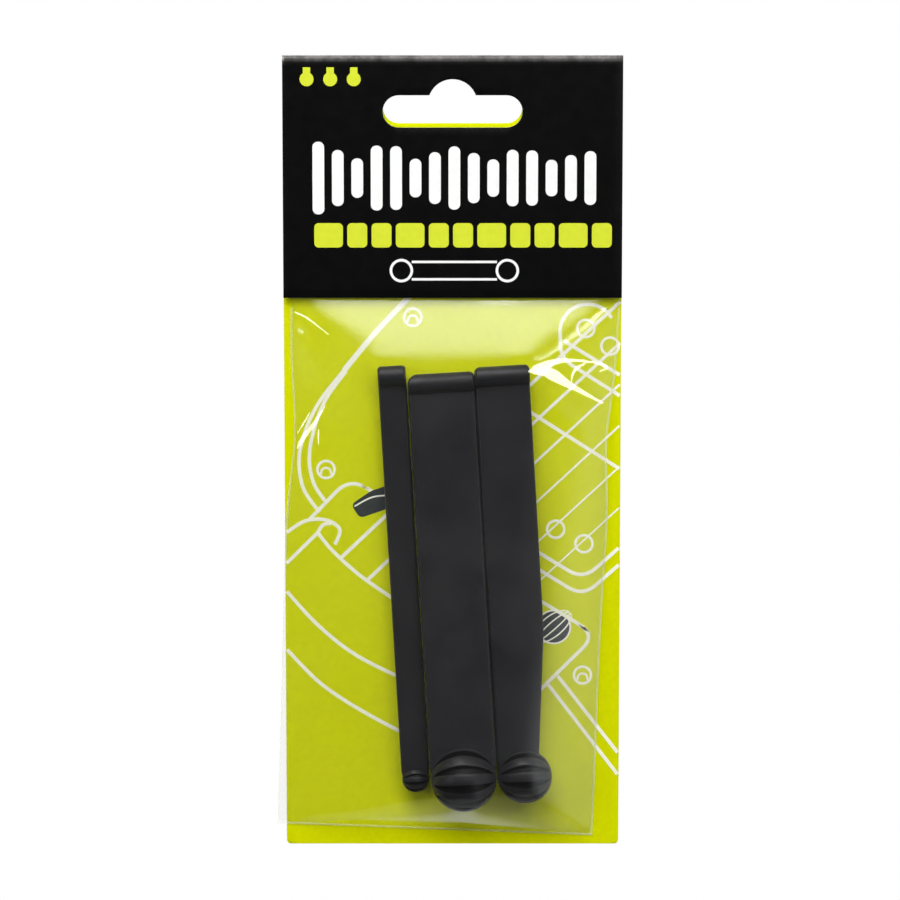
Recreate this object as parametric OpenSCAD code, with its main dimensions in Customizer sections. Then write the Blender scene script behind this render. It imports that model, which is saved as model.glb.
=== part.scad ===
// Hanging retail pack of three rubber string dampeners: a folded header card, a clear film bag
// glued inside the header, and three flat rubber strips that each end in a ribbed ball.
// Millimetres, +Z up, -Y towards the viewer, origin at the centre of the hang hole.

/* [Card] */
// Width of the folded card
card_w = 78; // [77:0.5:90]
// Height of the back panel, from the fold to its bottom edge
card_h = 184; // [183:1:200]
// Height of the header flap, from the fold to its lower edge
flap_h = 55.5; // [54:0.5:56]
// Thickness of the card board
board_t = 0.45; // [0.3:0.05:0.6]
// Inner gap between the flap and the back panel
fold_gap = 1.0; // [0.9:0.1:1.2]
// Radius of the back panel's bottom corners
corner_r = 1.0; // [0.5:0.1:3]

/* [Hang hole] */
// Width of the hang slot
slot_w = 32; // [25:0.5:34]
// Height of the hang slot
slot_h = 7.3; // [6:0.1:8]
// Width of the hump where it meets the slot
hump_w = 10.6; // [9:0.1:12]
// Height of the hump above the slot
hump_h = 3.65; // [3:0.05:4.5]
// Distance from the fold down to the middle of the slot
slot_drop = 12.8; // [11:0.1:15]
// How much higher the back panel's slot is punched than the flap's
slot_offset = 1.0; // [0:0.1:1.2]

/* [Bag] */
// Thickness of the film
film_t = 0.1; // [0.08:0.01:0.15]
// Width of the side welds and of the folded hem
seal_w = 0.8; // [0.5:0.1:1.5]
// Height of the bag's tab that is glued inside the header
tab_h = 33; // [21:1:34]
// Length of the bag below the header, on its left side
bag_left_len = 124.3; // [123:0.1:126]
// Length of the bag below the header, on its right side
bag_right_len = 127.2; // [126:0.1:128]

/* [Dampeners] */
// Distance from the middle of the ball to the tip: small, medium, large
strip_len = [96.8, 95.6, 94.4]; // [90:0.1:97]
// Radius of the ball
ball_r = [3.15, 6.3, 7.6]; // [3:0.05:7.6]
// Width of the strip
strip_w = [6.3, 12.5, 15.2]; // [5:0.1:15.4]
// Thickness of the strip
strip_t = [2.4, 2.8, 3.0]; // [2:0.1:3.4]
// Diameter of the round bar across the tip
bar_d = 4.6; // [4:0.1:5]
// Sideways lean of the strips, in degrees
strip_lean = 3.3; // [3:0.05:3.4]
// Number of grooves around each ball
grooves = 10; // [6:1:14]
// Angle that one groove takes, in degrees
groove_angle = 16; // [8:1:20]
// Depth of the grooves, as a share of the ball's radius
groove_depth = 0.13; // [0.05:0.01:0.2]
// Angle from the ball's equator at which a groove runs out, in degrees
groove_reach = 66; // [50:1:72]
// Angle by which the land on the ball's front looks up, in degrees
land_up = 4; // [-10:1:10]

/* [Hidden] */
$fn = 64;

black_ink = "#181818";
lime_ink = "#c8cd08";
rubber = "#2c2c30";
film_clear = [0.9, 0.92, 0.88, 0.35];
glue_tint = "#e8e0c0";
eps = 0.01;

// Heights of the card's own edges
fold_top = slot_drop;
fold_outer = fold_gap / 2 + board_t;
fold_axis = fold_top - fold_outer;
card_bottom = fold_top - card_h;
flap_bottom = fold_top - flap_h;
flap_corner_r = 0.2;

// Glue strips: how high above the flap's lower edge they start, and their size
glue_rise = 14;
glue_size = [64, 6];

// The bag hangs from a line just under the flap's lower edge
bag_pivot = flap_bottom - 0.5;
bag_top = bag_pivot - 0.4;
// Corners of the bag below the header, as [x, z]
bag_tl = [-37.3, bag_top];
bag_tr = [38.6, bag_top];
bag_bl = [-41.1, flap_bottom - bag_left_len];
bag_br = [32.8, flap_bottom - bag_right_len];
tab_taper = 0.6;
// Front of the back film, and inside of the front film at its rim
back_film_y = 0.3;
rim_y = back_film_y - 0.02;

// Small, medium, large: middle of the ball as x and as the distance down from the fold
small = 0;
medium = 1;
large = 2;
ball_x = [-8.6, 16.8, 2.6];
ball_drop = [167.7, 166.4, 166.8];
// Widths that the strip's left and right edges lose on their way down to the ball's middle, and
// how far above it they start to
neck_cut = [[0.4, 0.4], [0.4, 3.2], [0.4, 0.4]];
neck_from = [[1.5, 1.5], [3, 34], [3.8, 3.8]];
// How far the tip's back stands in front of the plane that the ball's back touches
tip_rise = 0.3;
tip_corner_r = [0.9, 1.3, 1.8];

// Euro slot with a hump, as an outline around [0, 0]
module slot_outline() {
    half = slot_w / 2 - slot_h / 2;
    hump_r = (hump_w * hump_w / 4 + hump_h * hump_h) / (2 * hump_h);
    square([2 * half, slot_h], center = true);
    for (s = [-1, 1]) translate([s * half, 0]) circle(r = slot_h / 2);
    intersection() {
        translate([0, slot_h / 2 + hump_h - hump_r]) circle(r = hump_r);
        translate([-hump_w, 0]) square([2 * hump_w, slot_h + hump_h]);
    }
}

// Extrudes an outline drawn in X and Z so that it fills y from near to far
module slab(near, far) {
    translate([0, far, 0]) rotate([90, 0, 0]) linear_extrude(far - near) children();
}

module panel_outline(bottom, r) {
    translate([-card_w / 2, bottom + r]) square([card_w, fold_axis - bottom - r]);
    translate([-card_w / 2 + r, bottom]) square([card_w - 2 * r, r + eps]);
    for (s = [-1, 1]) translate([s * (card_w / 2 - r), bottom + r]) circle(r = r);
}

module back_panel() {
    color(lime_ink) slab(fold_gap / 2, fold_outer) difference() {
        panel_outline(card_bottom, corner_r);
        translate([0, slot_offset]) slot_outline();
    }
}

module header_flap() {
    color(black_ink) slab(-fold_outer, -fold_gap / 2) difference() {
        panel_outline(flap_bottom, flap_corner_r);
        slot_outline();
    }
}

// The board where it turns over at the top
module fold_crease() {
    color(black_ink) translate([-card_w / 2, 0, fold_axis]) rotate([90, 0, 90])
        linear_extrude(card_w) difference() {
            circle(r = fold_outer);
            circle(r = fold_gap / 2);
            translate([-2 * fold_outer, -4 * fold_outer]) square(4 * fold_outer);
        }
}

// One strip of glue along the bag's tab, between the tab and the board at side -1 or 1
module glue_strip(side) {
    color(glue_tint) translate([-glue_size.x / 2, 0, flap_bottom + glue_rise])
        slab(min(side * film_t, side * fold_gap / 2), max(side * film_t, side * fold_gap / 2))
            square(glue_size);
}

// The bag's flat top, both films, behind the header
module bag_top_tab() {
    color(film_clear) slab(-film_t, film_t)
        polygon([
            [bag_tl.x, flap_bottom], [bag_tr.x, flap_bottom],
            [bag_tr.x - tab_taper, flap_bottom + tab_h], [bag_tl.x + tab_taper, flap_bottom + tab_h]
        ]);
}

function mix(a, b, t) = a + (b - a) * t;
function side_x(top, bottom, z) = mix(top.x, bottom.x, (z - top.y) / (bottom.y - top.y));
function hem_z(x) = mix(bag_bl.y, bag_br.y, (x - bag_bl.x) / (bag_br.x - bag_bl.x));

// The films' edge above the hem, at x, and their corners inside the welds: top left, top right,
// bottom right, bottom left
function film_hem(x) = hem_z(x) + seal_w;
function above_hem(x) = [x, film_hem(x)];
film_corners = [
    bag_tl + [seal_w, 0], bag_tr - [seal_w, 0],
    above_hem(bag_br.x - seal_w), above_hem(bag_bl.x + seal_w)
];
function film_left(z) = side_x(film_corners[0], film_corners[3], z);
function film_right(z) = side_x(film_corners[1], film_corners[2], z);
// Feet of the welds' outer edges, on the hem
weld_feet = [
    above_hem(side_x(bag_tl, bag_bl, bag_bl.y + seal_w)),
    above_hem(side_x(bag_tr, bag_br, bag_br.y + seal_w))
];

// A flat piece as thick as the whole bag at its rim
module rim_piece(outline) {
    color(film_clear) slab(rim_y - film_t, back_film_y + film_t) polygon(outline);
}

module bag_side_weld_left() {
    rim_piece([bag_tl, weld_feet[0], film_corners[3], film_corners[0]]);
}

module bag_side_weld_right() {
    rim_piece([bag_tr, weld_feet[1], film_corners[2], film_corners[1]]);
}

module bag_bottom_fold() {
    rim_piece([bag_bl, bag_br, weld_feet[1], weld_feet[0]]);
}

module bag_back_film() {
    color(film_clear) slab(back_film_y, back_film_y + film_t) polygon(film_corners);
}

// How far the front film stands off its rim above the dampeners, against the drop below the fold
bag_drop = fold_top - bag_top;
function crest(drop) = lookup(drop, [
    [bag_drop, 0], [67.6, 6.4], [148, 10.2], [157.6, 16.2], [171.6, 16.2], [176.2, 10.6], [183, 8]
]);
hem_slope = 2.1;
// Sides of the block of dampeners that the film lies on, with its clearance
block_room = 0.7;
lean = tan(strip_lean);
function block_left(drop) =
    ball_x[small] - ball_r[small] - block_room - (ball_drop[small] - drop) * lean;
function block_right(drop) =
    ball_x[medium] + ball_r[medium] + block_room - (ball_drop[medium] - drop) * lean;
// How far down the fold each row of the film is, as far as the row along the hem
film_rows = [
    bag_drop, 60, 64, 67.6, 75, 90, 105, 120, 135, 148, 153, 157.6, 162, 167, 171.6, 174, 176.2
];
// Cells between the left weld and the block, over the block, and on to the right weld
film_cells = [7, 10, 5];
film_cols = film_cells[0] + film_cells[1] + film_cells[2];

function film_column(drop) =
    let (z = fold_top - drop, l = film_left(z), a = block_left(drop), b = block_right(drop))
    concat(
        [for (i = [0:film_cells[0] - 1]) mix(l, a, i / film_cells[0])],
        [for (i = [0:film_cells[1] - 1]) mix(a, b, i / film_cells[1])],
        [for (i = [0:film_cells[2]]) mix(b, film_right(z), i / film_cells[2])]
    );
function ramp(i) = min(i / film_cells[0], 1, (film_cols - i) / film_cells[2]);
function stand_off(x, z, i) =
    max(0, min(crest(fold_top - z) * ramp(i), (z - film_hem(x)) * hem_slope));

// The outside of the front film, row by row from the header down, with a last row along the hem
film_face = concat(
    [for (drop = film_rows) let (xs = film_column(drop), z = fold_top - drop)
        [for (i = [0:film_cols]) [xs[i], rim_y - film_t - stand_off(xs[i], z, i), z]]],
    [let (xs = film_column(fold_top - bag_bl.y))
        [for (i = [0:film_cols])
            let (x = mix(film_corners[3].x, film_corners[2].x, (xs[i] - xs[0]) / (xs[film_cols] - xs[0])))
            [x, rim_y - film_t, film_hem(x)]]]
);

// A sheet as thick as the film, behind a grid of points
module sheet_behind(grid) {
    rows = len(grid);
    cols = len(grid[0]);
    count = rows * cols;
    outside = [for (row = grid) each row];
    inside = [for (p = outside) p + [0, film_t, 0]];
    front = [for (r = [0:rows - 2]) for (c = [0:cols - 2]) let (k = r * cols + c) each [
        [k, k + 1, k + cols + 1], [k, k + cols + 1, k + cols]
    ]];
    back = [for (f = front) [f[2] + count, f[1] + count, f[0] + count]];
    // The rim, once round the grid, and a wall from each of its steps to the inside
    rim = concat(
        [for (c = [0:cols - 2]) c], [for (r = [0:rows - 2]) r * cols + cols - 1],
        [for (c = [cols - 1:-1:1]) (rows - 1) * cols + c], [for (r = [rows - 1:-1:1]) r * cols]
    );
    walls = [for (i = [0:len(rim) - 1]) let (a = rim[i], b = rim[(i + 1) % len(rim)])
        [a, a + count, b + count, b]];
    polyhedron(points = concat(outside, inside), faces = concat(front, back, walls), convexity = 6);
}

module bag_front_film() {
    color(film_clear) sheet_behind(film_face);
}

// Ball with lens-shaped grooves that run from pole to pole, with its poles on X
module ribbed_ball(r) {
    floor_r = r * (1 - groove_depth);
    end_x = r * sin(groove_reach);
    end_r = r * cos(groove_reach);
    sag = floor_r - end_r;
    arc_r = (end_x * end_x + sag * sag) / (2 * sag);
    pitch = 360 / grooves;
    land = tan((pitch - groove_angle) / 2);
    near = 0.3 * r;
    far = 1.2 * r;
    intersection() {
        sphere(r = r);
        union() {
            // Floor of the grooves: an arc turned about X
            rotate([0, 90, 0]) rotate_extrude() intersection() {
                translate([floor_r - arc_r, 0]) circle(r = arc_r, $fn = 256);
                translate([0, -2 * r]) square([2 * r, 4 * r]);
            }
            for (i = [0:grooves - 1]) rotate([i * pitch - 90 - land_up, 0, 0])
                translate([-far, 0, 0]) rotate([90, 0, 90]) linear_extrude(2 * far)
                    polygon([
                        [-near * land, -near], [near * land, -near],
                        [far * land, -far], [-far * land, -far]
                    ]);
        }
    }
}

// Flat strip from the ball's middle to a round bar across its tip, flush with the bar's back
module strip(length, width, thick, cut, from, r) {
    half = width / 2;
    nose = bar_d / 2;
    intersection() {
        translate([-half - 1, 0, 0]) rotate([90, 0, 90]) linear_extrude(width + 2) {
            polygon([
                [-thick / 2, 0], [thick / 2, 0], [nose, length - nose], [nose - thick, length - nose]
            ]);
            translate([0, length - nose]) circle(r = nose);
        }
        slab(-bar_d, bar_d) {
            polygon([
                [-half, from[0]], [-half + cut[0], 0], [half - cut[1], 0], [half, from[1]],
                [half, length - r], [half - r, length - r], [half - r, length],
                [-half + r, length], [-half + r, length - r], [-half, length - r]
            ]);
            for (s = [-1, 1]) translate([s * (half - r), length - r]) circle(r = r);
        }
    }
}

module dampener(i) {
    // The ball touches the plane y = 0, and the tip leans back towards it
    tip_back = asin((ball_r[i] - tip_rise - bar_d / 2) / strip_len[i]);
    color(rubber) translate([ball_x[i], -ball_r[i], fold_top - ball_drop[i]])
        rotate([0, -strip_lean, 0]) rotate([-tip_back, 0, 0]) {
            ribbed_ball(ball_r[i]);
            strip(strip_len[i], strip_w[i], strip_t[i], neck_cut[i], neck_from[i], tip_corner_r[i]);
        }
}

back_panel();
fold_crease();
header_flap();
glue_strip(-1);  // glue_strip_front
glue_strip(1);  // glue_strip_rear
bag_top_tab();
bag_front_film();
bag_back_film();
bag_side_weld_left();
bag_side_weld_right();
bag_bottom_fold();
dampener(small);  // dampener_small
dampener(medium);  // dampener_medium
dampener(large);  // dampener_large
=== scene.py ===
"""Looks of a hanging pack of three rubber string dampeners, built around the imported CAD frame.

Metres, +Z up, -Y towards the viewer, origin at the centre of the hang hole. Sizes below are in
millimetres and are turned into metres by MM where a mesh is made.
"""

import math

import bmesh
import bpy
import numpy as np
from mathutils import Matrix, Vector, noise
from mathutils.bvhtree import BVHTree


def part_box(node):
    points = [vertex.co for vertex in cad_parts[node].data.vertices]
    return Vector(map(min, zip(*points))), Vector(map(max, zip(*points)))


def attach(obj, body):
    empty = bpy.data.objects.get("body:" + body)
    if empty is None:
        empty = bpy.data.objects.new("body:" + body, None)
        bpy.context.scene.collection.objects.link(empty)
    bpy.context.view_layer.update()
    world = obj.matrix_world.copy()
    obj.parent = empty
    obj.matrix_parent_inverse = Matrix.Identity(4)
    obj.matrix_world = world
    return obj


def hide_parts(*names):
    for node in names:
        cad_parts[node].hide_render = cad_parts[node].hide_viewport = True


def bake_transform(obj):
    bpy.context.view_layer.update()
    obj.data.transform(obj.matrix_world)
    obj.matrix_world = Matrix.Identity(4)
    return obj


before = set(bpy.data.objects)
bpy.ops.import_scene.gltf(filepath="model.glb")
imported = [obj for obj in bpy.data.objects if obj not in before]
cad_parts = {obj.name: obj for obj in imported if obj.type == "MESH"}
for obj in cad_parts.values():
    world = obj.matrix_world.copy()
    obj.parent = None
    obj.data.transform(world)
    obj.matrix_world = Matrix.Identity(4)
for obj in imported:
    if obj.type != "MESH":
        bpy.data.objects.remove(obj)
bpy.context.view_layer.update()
MM = 0.001


def box_mm(node):
    """Lowest and highest corner of a CAD node, in millimetres."""
    low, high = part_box(node)
    return low / MM, high / MM


# ---------------------------------------------------------------- places taken from the frame

panel_low, panel_high = box_mm("back_panel")
flap_low, flap_high = box_mm("header_flap")
crease_high = box_mm("fold_crease")[1]
tab_low, tab_high = box_mm("bag_top_tab")
weld_left_low, weld_left_high = box_mm("bag_side_weld_left")
weld_right_low, weld_right_high = box_mm("bag_side_weld_right")
back_film_low, back_film_high = box_mm("bag_back_film")

HALF_W = panel_high.x
BOARD = panel_high.y - panel_low.y
PANEL_FACE = panel_low.y
FLAP_FACE = flap_low.y
FOLD_AXIS = flap_high.z
FOLD_TOP = crease_high.z
FLAP_BOTTOM = flap_low.z
CARD_BOTTOM = panel_low.z


# ---------------------------------------------------------------- camera and light

CAMERA_TARGET = Vector((-0.6, 0, -78.0))
CAMERA_DISTANCE = 661.7
CAMERA_ELEVATION = math.radians(5.85)
CAMERA_LENS = 114.1


def add_object(name, data):
    made = bpy.data.objects.new(name, data)
    bpy.context.scene.collection.objects.link(made)
    return made


def make_camera():
    camera = add_object("camera", bpy.data.cameras.new("camera"))
    back = Vector((0, -math.cos(CAMERA_ELEVATION), math.sin(CAMERA_ELEVATION)))
    camera.location = (CAMERA_TARGET + back * CAMERA_DISTANCE) * MM
    camera.rotation_mode = "QUATERNION"
    camera.rotation_quaternion = (-back).to_track_quat("-Z", "Y")
    camera.data.lens = CAMERA_LENS
    camera.data.clip_start = 0.01
    bpy.context.scene.camera = camera


LIGHTS_AIM = Vector((0, 0, -80))


def softbox(name, place, size, power):
    """A rectangular light at place, facing the middle of the pack, in millimetres."""
    light = bpy.data.lights.new(name, "AREA")
    light.shape = "RECTANGLE"
    light.size, light.size_y = size[0] * MM, size[1] * MM
    light.energy = power
    lamp = add_object(name, light)
    lamp.location = Vector(place) * MM
    lamp.rotation_mode = "QUATERNION"
    towards = (LIGHTS_AIM - Vector(place)).normalized()
    lamp.rotation_quaternion = towards.to_track_quat("-Z", "Y")


def set_inputs(node, **values):
    for name, value in values.items():
        node.inputs[name.replace("_", " ")].default_value = value


def math_node(tree, operation, a, b):
    """Combines two numbers, each a socket or a constant."""
    node = tree.nodes.new("ShaderNodeMath")
    node.operation = operation
    for i, value in enumerate((a, b)):
        if isinstance(value, (int, float)):
            node.inputs[i].default_value = value
        else:
            tree.links.new(value, node.inputs[i])
    return node.outputs[0]


def range_node(tree, source, low, high, start, end, kind="LINEAR"):
    """Maps source from low..high to start..end, clamped."""
    node = tree.nodes.new("ShaderNodeMapRange")
    node.interpolation_type = kind
    set_inputs(node, From_Min=low, From_Max=high, To_Min=start, To_Max=end)
    tree.links.new(source, node.inputs["Value"])
    return node.outputs["Result"]


# Brightness of the tent around the camera, behind the pack, below it, to its right and overhead
TENT_DIM = 0.05
TENT_BEHIND = 0.95
TENT_BELOW = 0.42
TENT_RIGHT = 1.05
OVERHEAD = 5.4


def make_world():
    """White to look at. As a light it is a tent, bright behind and overhead, dim in front."""
    world = bpy.data.worlds.new("studio")
    bpy.context.scene.world = world
    world.use_nodes = True
    tree = world.node_tree
    nodes, links = tree.nodes, tree.links
    nodes.clear()

    def smooth(source, *limits):
        return range_node(tree, source, *limits, kind="SMOOTHSTEP")

    def combine(operation, a, b):
        return math_node(tree, operation, a, b)

    split = nodes.new("ShaderNodeSeparateXYZ")
    links.new(nodes.new("ShaderNodeTexCoord").outputs["Generated"], split.inputs[0])
    x, y, z = split.outputs
    behind = smooth(y, 0.30, 0.65, TENT_DIM, TENT_BEHIND)
    below = smooth(z, -0.95, -0.80, TENT_BELOW, 0.0)
    right = combine("MULTIPLY", smooth(x, 0.28, 0.88, 0.0, TENT_RIGHT),
                    smooth(y, 0.0, 0.3, 1.0, 0.0))
    overhead = combine("MULTIPLY", smooth(z, 0.38, 0.62, 0.0, OVERHEAD),
                       smooth(z, 0.70, 0.84, 1.0, 0.0))
    wide = combine("MULTIPLY", smooth(x, -0.62, -0.30, 0.0, 1.0),
                   smooth(x, 0.30, 0.62, 1.0, 0.0))
    overhead = combine("MULTIPLY", overhead, wide)
    tent = combine("MAXIMUM", combine("MAXIMUM", behind, below), right)
    output = nodes.new("ShaderNodeOutputWorld")
    mix = nodes.new("ShaderNodeMixShader")
    path = nodes.new("ShaderNodeLightPath")
    room = nodes.new("ShaderNodeBackground")
    seen = nodes.new("ShaderNodeBackground")
    set_inputs(room, Color=(0.97, 0.98, 1.0, 1))
    links.new(combine("ADD", tent, overhead), room.inputs["Strength"])
    set_inputs(seen, Color=(1, 1, 1, 1), Strength=1.0)
    links.new(path.outputs["Is Camera Ray"], mix.inputs[0])
    links.new(room.outputs[0], mix.inputs[1])
    links.new(seen.outputs[0], mix.inputs[2])
    links.new(mix.outputs[0], output.inputs["Surface"])


# The floor's half side and level, in metres
FLOOR_HALF, FLOOR_Z = 6.0, -0.6


def make_floor():
    """A plain white floor, far below the hanging pack."""
    mesh = bpy.data.meshes.new("floor")
    half, z = FLOOR_HALF, FLOOR_Z
    corners = [(-half, -half, z), (half, -half, z), (half, half, z), (-half, half, z)]
    mesh.from_pydata(corners, [], [(0, 1, 2, 3)])
    floor = add_object("floor", mesh)
    material = bpy.data.materials.new("floor_white")
    material.use_nodes = True
    set_inputs(material.node_tree.nodes["Principled BSDF"], Base_Color=(0, 0, 0, 1),
               Specular_IOR_Level=0, Emission_Color=(1, 1, 1, 1), Emission_Strength=1.0)
    floor.data.materials.append(material)
    floor.visible_diffuse = False
    floor.visible_glossy = False
    floor.visible_shadow = False


def make_studio():
    view = bpy.context.scene.view_settings
    view.view_transform = "Standard"
    view.look = "None"
    bpy.context.scene.cycles.use_denoising = True
    bpy.context.scene.cycles.transparent_max_bounces = 24
    make_camera()
    make_world()
    make_floor()
    softbox("key", (-560, -450, 60), (200, 200), 1.1)
    softbox("steep", (-110, -330, 520), (420, 260), 3.4)
    softbox("right", (330, -610, 170), (150, 80), 0.46)


# ---------------------------------------------------------------- node helpers

class Shader:
    """A material's node tree, with short calls for the nodes used here."""

    def __init__(self, name):
        self.material = bpy.data.materials.new(name)
        self.material.use_nodes = True
        self.nodes = self.material.node_tree.nodes
        self.links = self.material.node_tree.links
        self.principled = self.nodes["Principled BSDF"]
        self.place = self.nodes.new("ShaderNodeTexCoord").outputs["Object"]

    def set(self, **values):
        set_inputs(self.principled, **values)

    def link(self, source, name):
        self.links.new(source, self.principled.inputs[name])

    def noise(self, scale, detail=3.0, roughness=0.5, stretch=None):
        node = self.nodes.new("ShaderNodeTexNoise")
        set_inputs(node, Scale=scale, Detail=detail, Roughness=roughness)
        source = self.place
        if stretch:
            mapping = self.nodes.new("ShaderNodeMapping")
            set_inputs(mapping, Scale=stretch)
            self.links.new(source, mapping.inputs["Vector"])
            source = mapping.outputs[0]
        self.links.new(source, node.inputs["Vector"])
        return node.outputs["Fac"]

    def ramp(self, source, low, high, start=0.0, end=1.0):
        return range_node(self.material.node_tree, source, low, high, start, end)

    def math(self, operation, a, b):
        return math_node(self.material.node_tree, operation, a, b)

    def blend(self, factor, a, b):
        """Mixes two colours, each a socket or a tuple."""
        node = self.nodes.new("ShaderNodeMix")
        node.data_type = "RGBA"
        self.links.new(factor, node.inputs["Factor"])
        for i, value in ((6, a), (7, b)):
            if isinstance(value, tuple):
                node.inputs[i].default_value = (*value, 1)
            else:
                self.links.new(value, node.inputs[i])
        return node.outputs[2]

    def bump(self, height, strength, distance):
        node = self.nodes.new("ShaderNodeBump")
        set_inputs(node, Strength=strength, Distance=distance)
        self.links.new(height, node.inputs["Height"])
        self.links.new(node.outputs[0], self.principled.inputs["Normal"])

    def axis(self, name):
        node = self.nodes.new("ShaderNodeSeparateXYZ")
        self.links.new(self.place, node.inputs[0])
        return node.outputs[name]


# Where the fold's left end is worn to bare board, in millimetres from the card's edge, and its colour
WORN_CORNER = (0.9, 0.1)
BARE_BOARD = (0.5, 0.48, 0.45)


def printed_board(name, colour, roughness, specular, fold_rub_and_sheen=None):
    """Coated board: even ink with faint mottling. The last argument is the colour of a lighter band
    along the fold, partly rub marks and partly a painted sheen of the curved fold.
    """
    s = Shader(name)
    mottle = s.ramp(s.noise(900, 4), 0.3, 0.7)
    cloud = s.ramp(s.noise(38, 3), 0.35, 0.65)
    darker = tuple(c * 0.95 for c in colour)
    lighter = tuple(min(1.0, c * 1.03) for c in colour)
    tone = s.blend(mottle, darker, lighter)
    tone = s.blend(s.math("MULTIPLY", cloud, 0.35), tone, darker)
    # Painted sheen with rub marks: the board is made lighter in colour along the fold's top, as if the
    # curved fold caught the top light
    if fold_rub_and_sheen:
        attribute = s.nodes.new("ShaderNodeAttribute")
        attribute.attribute_name = "rub_and_sheen"
        fold = attribute.outputs["Fac"]
        scuff = s.ramp(s.noise(260, 5, 0.65), 0.35, 0.75, 0.25, 1.0)
        tone = s.blend(s.math("MULTIPLY", fold, scuff), tone, fold_rub_and_sheen)
        corner_from, corner_to = ((inset - HALF_W) * MM for inset in WORN_CORNER)
        corner = s.ramp(s.axis("X"), corner_from, corner_to)
        corner = s.math("MULTIPLY", corner, s.ramp(fold, 0.0, 0.85))
        corner = s.math("MULTIPLY", corner, s.ramp(s.noise(900, 3), 0.42, 0.58))
        tone = s.blend(corner, tone, BARE_BOARD)
    s.link(tone, "Base Color")
    s.link(s.ramp(s.noise(420, 3), 0.3, 0.7, roughness - 0.03, roughness + 0.04), "Roughness")
    s.set(Specular_IOR_Level=specular)
    fibre = s.math("ADD", s.noise(1500, 3), s.math("MULTIPLY", s.noise(160, 2), 0.8))
    s.bump(fibre, 0.10, 0.00002)
    return s.material


def paper_core():
    s = Shader("paper_core")
    streak = s.noise(260, 4, stretch=(1, 8, 8))
    s.link(s.blend(s.ramp(streak, 0.3, 0.7), (0.60, 0.59, 0.53), (0.80, 0.79, 0.74)), "Base Color")
    s.set(Roughness=0.9, Specular_IOR_Level=0.2)
    s.bump(s.noise(1800, 3, stretch=(1, 3, 3)), 0.5, 0.00005)
    return s.material


def ink(name, colour):
    s = Shader(name)
    fade = s.ramp(s.noise(700, 3), 0.3, 0.7)
    s.link(s.blend(fade, tuple(c * 0.94 for c in colour), colour), "Base Color")
    s.set(Roughness=0.5, Specular_IOR_Level=0.4)
    s.bump(s.noise(1400, 2), 0.06, 0.00002)
    return s.material


def moulded_rubber(name, shade):
    """Matt black silicone rubber with a fine mould grain, bloom and a few specks of dust. A shade
    below 1 gives a darker copy, used as painted shade inside the balls' grooves.
    """
    s = Shader(name)
    bloom = s.ramp(s.noise(55, 4, 0.6), 0.38, 0.72)
    grain = s.ramp(s.noise(2600, 2), 0.35, 0.65)
    low, high, fleck = (tuple(shade * c for c in tone) for tone in (
        (0.0040, 0.0037, 0.0056), (0.0072, 0.0067, 0.0092), (0.0115, 0.0110, 0.0140)))
    body = s.blend(s.math("MULTIPLY", grain, 0.35), s.blend(bloom, low, high), fleck)
    specks = s.nodes.new("ShaderNodeTexVoronoi")
    set_inputs(specks, Scale=420)
    s.links.new(s.place, specks.inputs["Vector"])
    dust = s.math("MULTIPLY", s.ramp(specks.outputs["Distance"], 0.045, 0.02),
                  s.ramp(s.noise(90, 2), 0.52, 0.6))
    s.link(s.blend(s.math("MULTIPLY", dust, 0.6), body, (0.22, 0.22, 0.21)), "Base Color")
    s.link(s.ramp(s.noise(130, 4), 0.3, 0.7, 0.42, 0.58), "Roughness")
    s.set(Specular_IOR_Level=0.30 * shade, Sheen_Weight=0.04 * shade, Sheen_Roughness=0.5)
    height = s.math("ADD", s.noise(2300, 3), s.math("MULTIPLY", s.noise(180, 3), 1.4))
    s.bump(height, 0.22, 0.00004)
    return s.material


def clear_film(name, least_haze, most_haze, mirror=0.026, slant_mirror=0.8, rippled=0.05):
    """Thin clear film: it mirrors more at a slant, and has a slight milky haze."""
    s = Shader(name)
    s.set(Base_Color=(0.93, 0.95, 0.94, 1), Metallic=1.0)
    s.link(s.ramp(s.noise(60, 4), 0.3, 0.7, 0.08, 0.17), "Roughness")
    grain = s.math("MULTIPLY", s.noise(420, 2), 0.05)
    ripple = s.math("ADD", s.noise(70, 2, stretch=(1, 1, 0.4)), grain)
    s.bump(ripple, rippled, 0.0006)
    slant = s.nodes.new("ShaderNodeLayerWeight")
    set_inputs(slant, Blend=0.5)
    fresnel = s.math("POWER", slant.outputs["Facing"], 5.0)
    gloss = s.math("ADD", s.math("MULTIPLY", fresnel, slant_mirror), mirror)
    haze = s.ramp(s.noise(30, 4), 0.3, 0.75, least_haze, most_haze)
    milk = s.nodes.new("ShaderNodeBsdfPrincipled")
    set_inputs(milk, Base_Color=(0.96, 0.97, 0.82, 1), Roughness=0.6)
    clear = s.nodes.new("ShaderNodeBsdfTransparent")
    set_inputs(clear, Color=(1.0, 1.0, 0.998, 1))
    hazy = s.nodes.new("ShaderNodeMixShader")
    glossy = s.nodes.new("ShaderNodeMixShader")
    s.links.new(haze, hazy.inputs[0])
    s.links.new(clear.outputs[0], hazy.inputs[1])
    s.links.new(milk.outputs[0], hazy.inputs[2])
    s.links.new(gloss, glossy.inputs[0])
    s.links.new(hazy.outputs[0], glossy.inputs[1])
    s.links.new(s.principled.outputs[0], glossy.inputs[2])
    s.links.new(glossy.outputs[0], s.nodes["Material Output"].inputs["Surface"])
    return s.material


def dried_glue():
    s = Shader("dried_glue")
    blotches = s.ramp(s.noise(240, 4), 0.3, 0.7)
    s.link(s.blend(blotches, (0.62, 0.53, 0.30), (0.80, 0.74, 0.52)), "Base Color")
    s.set(Roughness=0.35, Subsurface_Weight=0.1)
    s.bump(s.noise(320, 4), 0.5, 0.0002)
    return s.material


# ---------------------------------------------------------------- mesh helpers

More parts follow.
